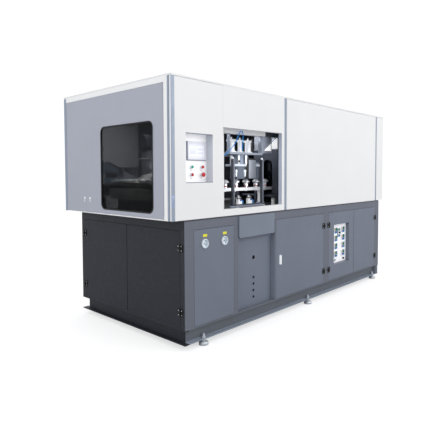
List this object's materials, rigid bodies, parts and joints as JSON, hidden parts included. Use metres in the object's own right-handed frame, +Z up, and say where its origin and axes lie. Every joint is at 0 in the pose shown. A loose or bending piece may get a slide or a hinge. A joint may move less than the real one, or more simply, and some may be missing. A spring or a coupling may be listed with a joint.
{
  "type": "linear stretch blow moulding machine",
  "caption": "Free-standing machine that heats plastic preforms and stretch-blows them into bottles, with a glazed guard door, front opening, meter recess and service doors.",
  "frame": {"origin": "centre of the machine's footprint, on the floor", "axes": "+X along the front towards the plain right end, +Y from the front to the back, +Z up"},
  "size_m": [3.736, 1.631, 2.149],
  "materials": {
    "base_paint": "satin grey paint",
    "foot_steel": "zinc plated",
    "cabinet_paint": "textured dark grey paint",
    "door_paint": "textured grey paint",
    "end_paint": "textured dark paint",
    "bed_paint": "dark paint",
    "hinge_black": "black powder coat",
    "gauge_metal": "satin steel",
    "gauge_glass": "clear",
    "pointer_black": "matt black",
    "grommet_rubber": "matt black rubber",
    "electrical_cream": "grey and cream plastic units",
    "tank_blue": "blue gloss paint",
    "handle_metal": "bright zinc",
    "meter_white": "white paint",
    "knob_black": "black plastic",
    "tube_paint": "white paint",
    "post_aluminium": "anodised",
    "cover_white": "smooth white paint",
    "screen_plastic": "pale grey plastic",
    "bezel_chrome": "bright",
    "button_green": "green",
    "button_red": "red",
    "guard_paint": "light grey paint",
    "window_smoke": "smoked",
    "seal_rubber": "black rubber",
    "portal_paint": "dark grey",
    "beam_white": "white paint",
    "bridge_alloy": "milled",
    "cylinder_alloy": "anodised",
    "head_alloy": "milled",
    "tube_blue": "blue polyurethane",
    "platen_steel": "blued steel",
    "mould_steel": "machined",
    "rod_steel": "hard chrome",
    "rail_alloy": "milled",
    "mandrel_steel": "polished",
    "oven_steel": "sheet steel",
    "lamp_quartz": "quartz",
    "rotor_steel": "sheet steel",
    "infeed_paint": "dark olive grey paint"
  },
  "bodies": {
    "machine": {"base_frame": "base_paint", "levelling_feet": "foot_steel", "cabinet_frame": "cabinet_paint", "cabinet_panels": "cabinet_paint", "gauge_panel": "door_paint", "port_panel": "door_paint", "port_grommets": "grommet_rubber", "chute_cover": "door_paint", "machine_bed": "bed_paint", "frame_hinge_leaves": "hinge_black", "gauge_cases": "gauge_metal", "gauge_lenses": "gauge_glass", "electrical_plate": "electrical_cream", "air_tank": "tank_blue", "enclosure_frame": "tube_paint", "corner_posts": "post_aluminium", "control_panel": "cover_white", "touch_screen": "screen_plastic", "button_bezels": "bezel_chrome", "opening_frame": "cover_white", "front_cover": "cover_white", "enclosure_panels": "cover_white", "roof": "cover_white", "transfer_portal": "portal_paint", "top_beam": "beam_white", "transfer_bridge": "bridge_alloy", "transfer_cylinders": "cylinder_alloy", "air_tubes": "tube_blue", "clamp_frame": "platen_steel", "lift_cylinders": "cylinder_alloy", "conveyor_rail": "rail_alloy", "mandrels": "mandrel_steel", "oven": "oven_steel", "oven_lamps": "lamp_quartz", "infeed_table": "infeed_paint"},
    "end_door_front": {"end_door_front": "end_paint"},
    "end_door_rear": {"end_door_rear": "end_paint"},
    "service_door": {"service_door": "door_paint"},
    "service_handle": {"service_handle": "handle_metal"},
    "meter_door": {"meter_door": "door_paint", "meter_panel": "meter_white"},
    "selector_knob": {"selector_knob": "knob_black"},
    "heat_knob": {"heat_knob": "knob_black"},
    "right_door": {"right_door": "door_paint"},
    "guard_door": {"guard_door": "guard_paint", "guard_window": "window_smoke", "window_seal": "seal_rubber"},
    "start_button": {"start_button": "button_green"},
    "stop_button": {"stop_button": "button_red"},
    "reset_button": {"reset_button": "button_red"},
    "emergency_stop": {"emergency_stop": "button_red"},
    "left_pointer": {"left_pointer": "pointer_black"},
    "right_pointer": {"right_pointer": "pointer_black"},
    "clamp_front": {"front_platen": "platen_steel", "front_mould": "mould_steel"},
    "clamp_rear": {"rear_platen": "platen_steel", "rear_mould": "mould_steel"},
    "stretch_rods": {"stretch_rods": "rod_steel"},
    "transfer_head": {"transfer_head": "head_alloy"},
    "fan_rotor": {"fan_rotor": "rotor_steel"}
  },
  "joints": [
    {"name": "end_door_front_hinge", "type": "hinge", "parent": "machine", "child": "end_door_front", "pos_m": [-1.75, -0.7475, 0.6], "axis": [0, 0, 1], "range_deg": [0, 110]},
    {"name": "end_door_rear_hinge", "type": "hinge", "parent": "machine", "child": "end_door_rear", "pos_m": [-1.75, 0.6725, 0.6], "axis": [0, 0, 1], "range_deg": [-110, 0]},
    {"name": "service_door_hinge", "type": "hinge", "parent": "machine", "child": "service_door", "pos_m": [0.341, -0.8055, 0.6], "axis": [0, 0, 1], "range_deg": [0, 90]},
    {"name": "service_handle_turn", "type": "hinge", "parent": "service_door", "child": "service_handle", "pos_m": [-0.488, -0.7975, 0.556], "axis": [0, 1, 0], "range_deg": [-90, 0]},
    {"name": "meter_door_hinge", "type": "hinge", "parent": "machine", "child": "meter_door", "pos_m": [0.448, -0.8055, 0.6], "axis": [0, 0, 1], "range_deg": [-90, 0]},
    {"name": "selector_turn", "type": "hinge", "parent": "meter_door", "child": "selector_knob", "pos_m": [0.756, -0.7605, 0.698], "axis": [0, 1, 0], "range_deg": [-45, 45]},
    {"name": "heat_turn", "type": "hinge", "parent": "meter_door", "child": "heat_knob", "pos_m": [0.858, -0.7545, 0.38], "axis": [0, 1, 0], "range_deg": [0, 270]},
    {"name": "right_door_hinge", "type": "hinge", "parent": "machine", "child": "right_door", "pos_m": [1.644, -0.8055, 0.6], "axis": [0, 0, 1], "range_deg": [0, 110]},
    {"name": "guard_door_hinge", "type": "hinge", "parent": "machine", "child": "guard_door", "pos_m": [-1.86, -0.6965, 1.5], "axis": [0, 0, 1], "range_deg": [0, 110]},
    {"name": "start_press", "type": "slide", "parent": "machine", "child": "start_button", "axis": [0, 1, 0], "range_m": [0, 0.004], "stiffness_N_per_m": 800, "springref_m": -0.004},
    {"name": "stop_press", "type": "slide", "parent": "machine", "child": "stop_button", "axis": [0, 1, 0], "range_m": [0, 0.004], "stiffness_N_per_m": 800, "springref_m": -0.004},
    {"name": "reset_press", "type": "slide", "parent": "machine", "child": "reset_button", "axis": [0, 1, 0], "range_m": [0, 0.004], "stiffness_N_per_m": 800, "springref_m": -0.004},
    {"name": "emergency_press", "type": "slide", "parent": "machine", "child": "emergency_stop", "axis": [0, 1, 0], "range_m": [0, 0.004]},
    {"name": "left_pointer_turn", "type": "hinge", "parent": "machine", "child": "left_pointer", "pos_m": [-1.52, -0.7975, 0.834], "axis": [0, 1, 0], "range_deg": [0, 270], "stiffness_Nm_per_rad": 0.01, "springref_deg": -28.65},
    {"name": "right_pointer_turn", "type": "hinge", "parent": "machine", "child": "right_pointer", "pos_m": [-1.286, -0.7975, 0.834], "axis": [0, 1, 0], "range_deg": [0, 270], "stiffness_Nm_per_rad": 0.01, "springref_deg": -28.65},
    {"name": "clamp_front_slide", "type": "slide", "parent": "machine", "child": "clamp_front", "axis": [0, 1, 0], "range_m": [0, 0.06]},
    {"name": "clamp_rear_slide", "type": "slide", "parent": "machine", "child": "clamp_rear", "axis": [0, -1, 0], "range_m": [0, 0.06]},
    {"name": "stretch_slide", "type": "slide", "parent": "machine", "child": "stretch_rods", "axis": [0, 0, 1], "range_m": [0, 0.19]},
    {"name": "transfer_slide", "type": "slide", "parent": "machine", "child": "transfer_head", "axis": [0, 1, 0], "range_m": [0, 0.11]},
    {"name": "fan_spin", "type": "hinge", "parent": "machine", "child": "fan_rotor", "pos_m": [0.983, -0.3175, 1.44], "axis": [0, 1, 0], "continuous": true}
  ],
  "couplings": [
    {"joint": "clamp_rear_slide", "follows": "clamp_front_slide", "ratio": 1}
  ]
}
